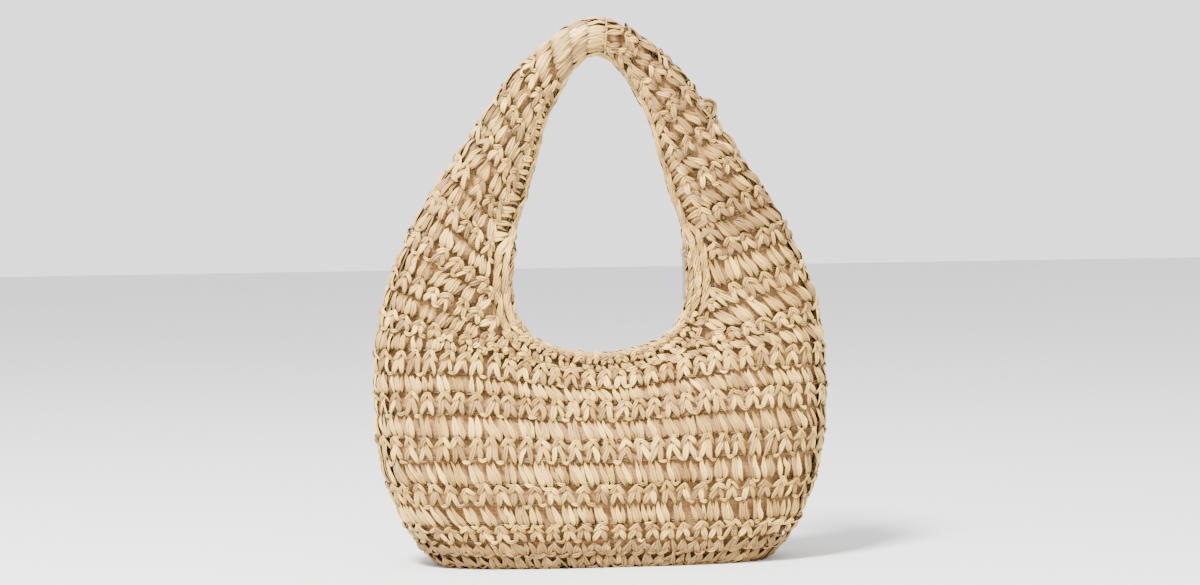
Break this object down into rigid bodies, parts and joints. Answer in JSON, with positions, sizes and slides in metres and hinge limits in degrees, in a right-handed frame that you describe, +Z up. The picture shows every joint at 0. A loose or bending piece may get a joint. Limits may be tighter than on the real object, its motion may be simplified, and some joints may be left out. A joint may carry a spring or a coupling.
{
  "type": "hobo bag",
  "caption": "Crescent shoulder bag of crocheted flat straw, lined, with a curved zipped mouth and a strap that grows out of the body.",
  "frame": {"origin": "centre of the flat base, on the surface that the bag stands on", "axes": "+Z up, X across the bag, the front faces -Y"},
  "size_m": [0.328, 0.099, 0.394],
  "materials": {
    "straw": "matt creased flat straw ribbon",
    "lining": "plain matt cotton",
    "board": "matt",
    "zip_tape": "twill tape",
    "zip_teeth": "moulded",
    "zip_metal": "polished",
    "puller_metal": "polished"
  },
  "bodies": {
    "bag": {"crochet_base": "straw", "crochet_front": "straw", "crochet_back": "straw", "shoulder_left": "straw", "shoulder_right": "straw", "shoulder_lining_left": "lining", "shoulder_lining_right": "lining", "lining_base": "lining", "lining_front": "lining", "lining_back": "lining", "lining_pocket": "lining", "pocket_hem": "lining", "base_board": "board", "zip_end_right": "zip_tape", "zip_end_left": "zip_tape", "zip_top_stops": "zip_metal", "zip_bottom_stop": "zip_metal"},
    "strap": {"strap_left": "straw", "strap_right": "straw", "strap_join": "straw", "strap_lining_left": "lining", "strap_lining_right": "lining"},
    "lip_front": {"rim_front": "straw", "zip_tape_front": "zip_tape", "zip_teeth_front": "zip_teeth"},
    "lip_back": {"rim_back": "straw", "zip_tape_back": "zip_tape", "zip_teeth_back": "zip_teeth"},
    "slider": {"slider_body": "zip_metal", "slider_bail": "zip_metal"},
    "puller": {"puller": "puller_metal"}
  },
  "joints": [
    {"name": "strap_fold", "type": "hinge", "parent": "bag", "child": "strap", "pos_m": [0, 0, 0.29], "axis": [1, 0, 0], "range_deg": [-60, 60]},
    {"name": "mouth_open_front", "type": "hinge", "parent": "bag", "child": "lip_front", "pos_m": [0.0713, 0, 0.22402], "axis": [-0.9781, 0, -0.2079], "range_deg": [0, 25]},
    {"name": "mouth_open_back", "type": "hinge", "parent": "bag", "child": "lip_back", "pos_m": [0.0713, 0, 0.22402], "axis": [0.9781, 0, 0.2079], "range_deg": [0, 25]},
    {"name": "zip_travel", "type": "hinge", "parent": "bag", "child": "slider", "pos_m": [0, 0, 0.214], "axis": [0, 1, 0], "range_deg": [0, 172]},
    {"name": "puller_swing", "type": "hinge", "parent": "slider", "child": "puller", "pos_m": [0.0614, 0, 0.22263], "axis": [0, 1, 0], "range_deg": [0, 145]}
  ],
  "couplings": [
    {"joint": "mouth_open_back", "follows": "mouth_open_front", "ratio": 1}
  ]
}
